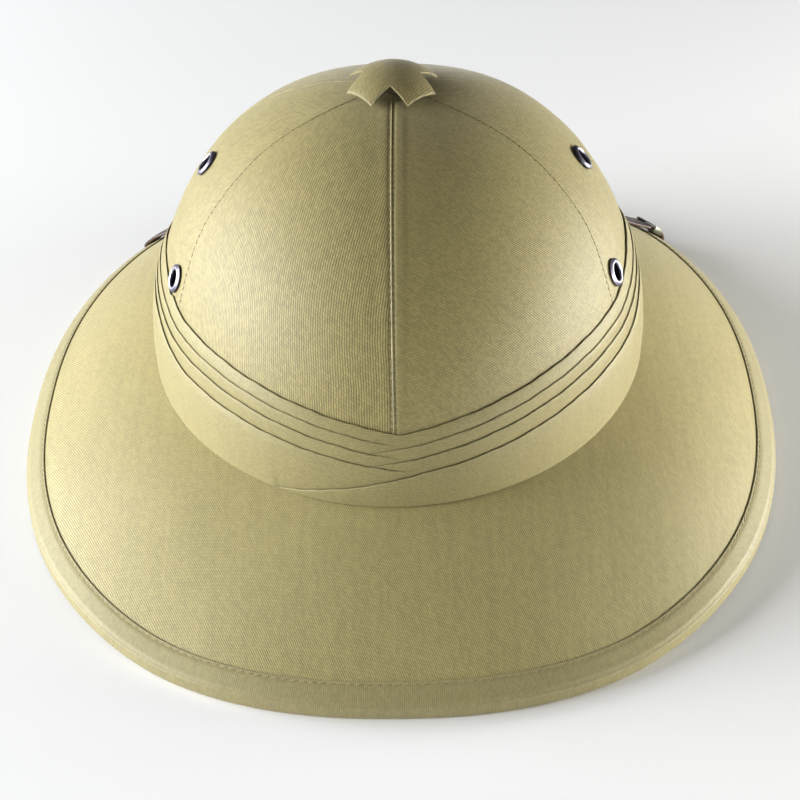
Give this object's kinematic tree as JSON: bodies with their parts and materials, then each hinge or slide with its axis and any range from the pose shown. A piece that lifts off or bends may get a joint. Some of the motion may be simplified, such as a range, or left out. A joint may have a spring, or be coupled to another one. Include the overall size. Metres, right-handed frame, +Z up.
{
  "type": "pith helmet",
  "caption": "Cloth-covered sun helmet with a domed crown, wide sloping brim, pleated band, petal-shaped ventilator cap, ventilation eyelets and a leather chin strap.",
  "frame": {"origin": "on the plane that the brim's edge rests on, under the middle of the helmet's length and width", "axes": "+Z up through the crown; +Y towards the front of the helmet; +X towards the wearer's right side"},
  "size_m": [0.286, 0.3422, 0.1503],
  "materials": {
    "crown_cloth": "khaki cotton twill stretched over the crown in sewn panels",
    "brim_cloth": "khaki cotton twill stretched over the brim",
    "binding_cloth": "folded khaki cotton binding, stitched close to its edge",
    "pugaree_cloth": "fine khaki cotton laid in flat pleats",
    "strap_leather": "smooth dark brown leather with raw lighter edges",
    "nickel": "nickel-plated, slightly worn"
  },
  "bodies": {
    "root": {"brim": "brim_cloth", "brim_binding": "binding_cloth", "chin_strap": "strap_leather", "crown": "crown_cloth", "eyelet_left_back": "nickel", "eyelet_left_front": "nickel", "eyelet_left_top": "nickel", "eyelet_right_back": "nickel", "eyelet_right_front": "nickel", "eyelet_right_top": "nickel", "pugaree_band": "pugaree_cloth", "pugaree_fold_1": "pugaree_cloth", "pugaree_fold_2": "pugaree_cloth", "pugaree_fold_3": "pugaree_cloth", "strap_anchor_left": "nickel", "strap_anchor_right": "nickel", "strap_slide": "nickel", "ventilator_cap": "crown_cloth"}
  },
  "joints": []
}
